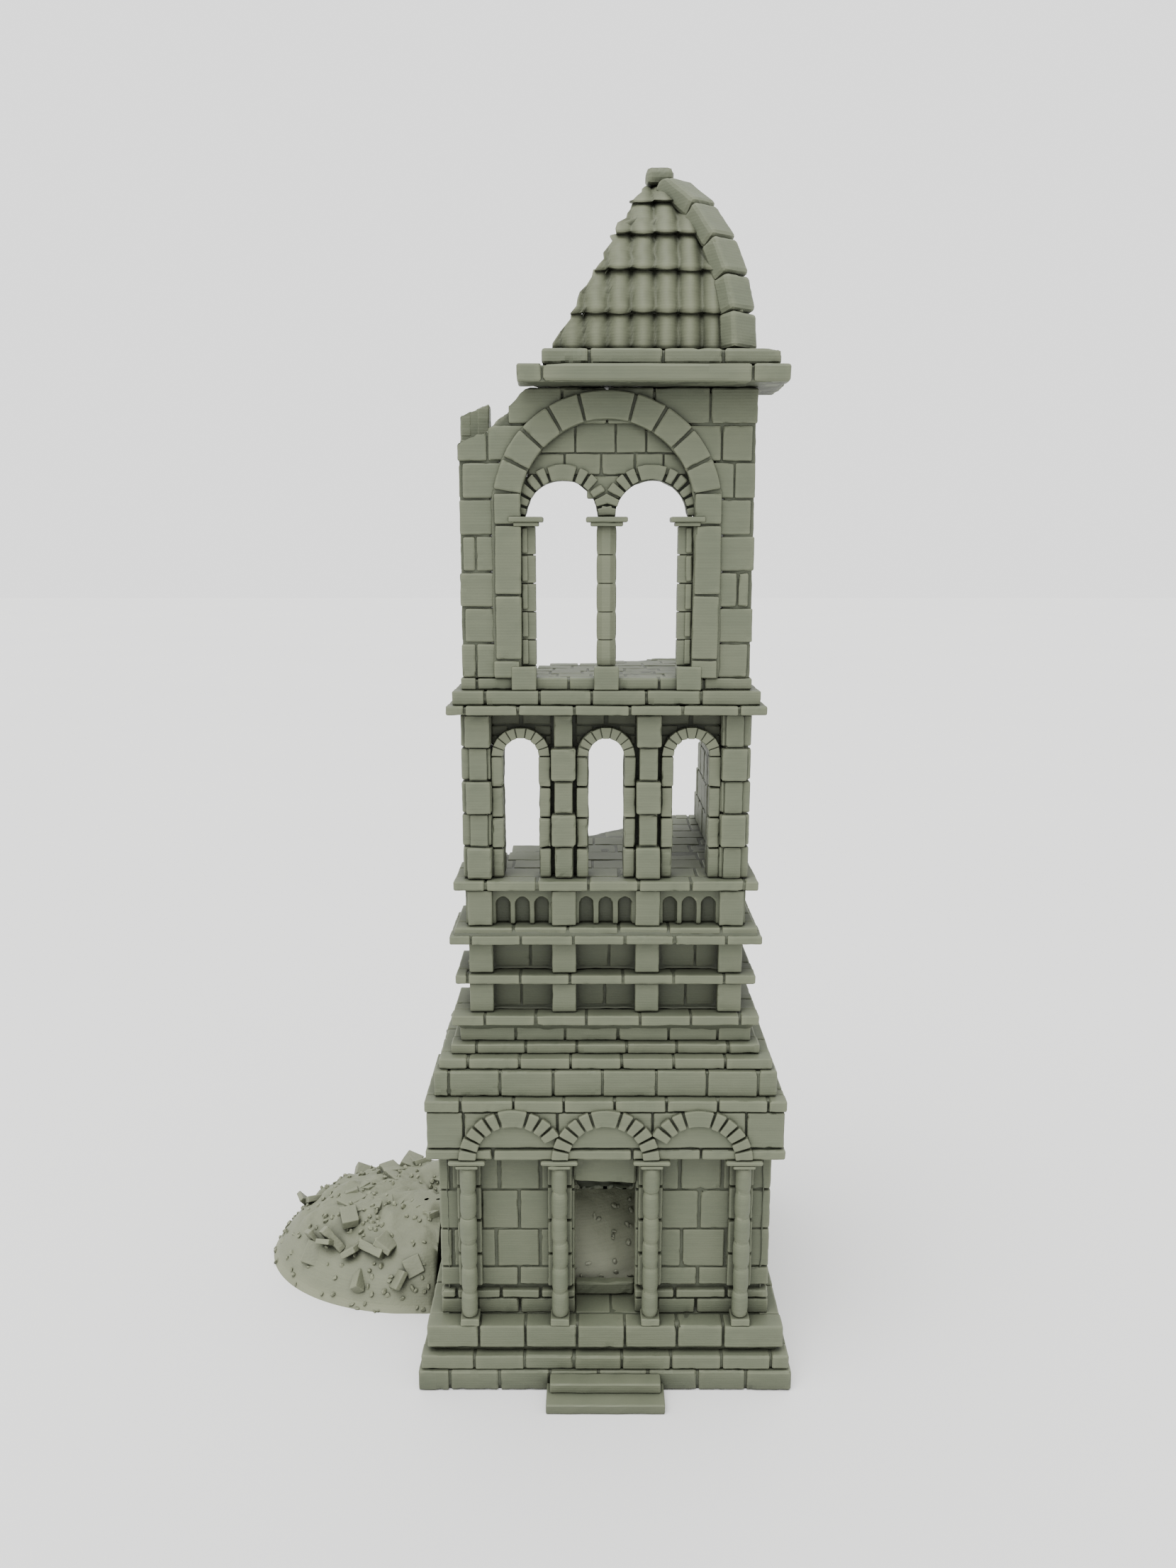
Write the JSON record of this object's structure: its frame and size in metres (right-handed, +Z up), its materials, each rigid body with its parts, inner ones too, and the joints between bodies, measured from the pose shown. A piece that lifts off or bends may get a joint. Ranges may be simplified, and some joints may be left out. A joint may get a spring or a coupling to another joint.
{
  "type": "miniature landmark model",
  "caption": "Ruined bell tower scenery model in printed plastic: columned portico, arcade, belfry and broken tiled dome, with lift-off storeys and a rubble heap.",
  "frame": {"origin": "centre of the square plinth's underside, on the surface the model stands on", "axes": "+Z up, front of the tower towards -Y, right side towards +X"},
  "size_m": [0.181, 0.1322, 0.3631],
  "materials": {
    "masonry_print": "matt green-grey printed plastic with fine level layer lines",
    "rubble_print": "matt green-grey printed plastic, broken and gritty"
  },
  "bodies": {
    "ground_storey": {"blind_arch_centre": "masonry_print", "blind_arch_left": "masonry_print", "blind_arch_right": "masonry_print", "door_lintel": "masonry_print", "entablature": "masonry_print", "ground_side_wall_left": "masonry_print", "ground_side_wall_right": "masonry_print", "inner_step": "masonry_print", "plinth_lower_course": "masonry_print", "plinth_upper_course": "masonry_print", "portico_column_1": "masonry_print", "portico_column_2": "masonry_print", "portico_column_3": "masonry_print", "portico_column_4": "masonry_print", "portico_wall_left": "masonry_print", "portico_wall_right": "masonry_print", "rubble_heap": "rubble_print", "rubble_scree": "rubble_print", "step_lower": "masonry_print", "step_upper": "masonry_print", "stepped_course_1": "masonry_print", "stepped_course_2": "masonry_print", "stepped_course_3": "masonry_print", "stylobate": "masonry_print"},
    "arcade_storey": {"arcade_pilaster_1": "masonry_print", "arcade_pilaster_2": "masonry_print", "arcade_pilaster_3": "masonry_print", "arcade_pilaster_4": "masonry_print", "arcade_plate": "masonry_print", "arcade_side_wall_left": "masonry_print", "arcade_side_wall_right": "masonry_print", "arcade_sill": "masonry_print", "arch_frame_centre": "masonry_print", "arch_frame_left": "masonry_print", "arch_frame_right": "masonry_print", "balcony_cornice": "masonry_print", "balustrade": "masonry_print", "frieze_band": "masonry_print", "frieze_base": "masonry_print", "frieze_panel_lower": "masonry_print", "frieze_panel_upper": "masonry_print", "top_cornice": "masonry_print"},
    "belfry": {"belfry_course": "masonry_print", "belfry_floor": "masonry_print", "belfry_front_wall": "masonry_print", "belfry_side_wall_left": "masonry_print", "belfry_side_wall_right": "masonry_print", "great_arch": "masonry_print", "tympanum": "masonry_print", "window_shaft_centre": "masonry_print", "window_shaft_left": "masonry_print", "window_shaft_right": "masonry_print"},
    "roof": {"eave_lower": "masonry_print", "eave_upper": "masonry_print", "finial_stone": "masonry_print", "hip_stones": "masonry_print", "roof_tiles": "masonry_print"}
  },
  "joints": [
    {"name": "arcade_storey_lift", "type": "slide", "parent": "ground_storey", "child": "arcade_storey", "axis": [0, 0, 1], "range_m": [0, 0.06]},
    {"name": "belfry_lift", "type": "slide", "parent": "arcade_storey", "child": "belfry", "axis": [0, 0, 1], "range_m": [0, 0.06]},
    {"name": "roof_lift", "type": "slide", "parent": "belfry", "child": "roof", "axis": [0, 0, 1], "range_m": [0, 0.06]}
  ]
}
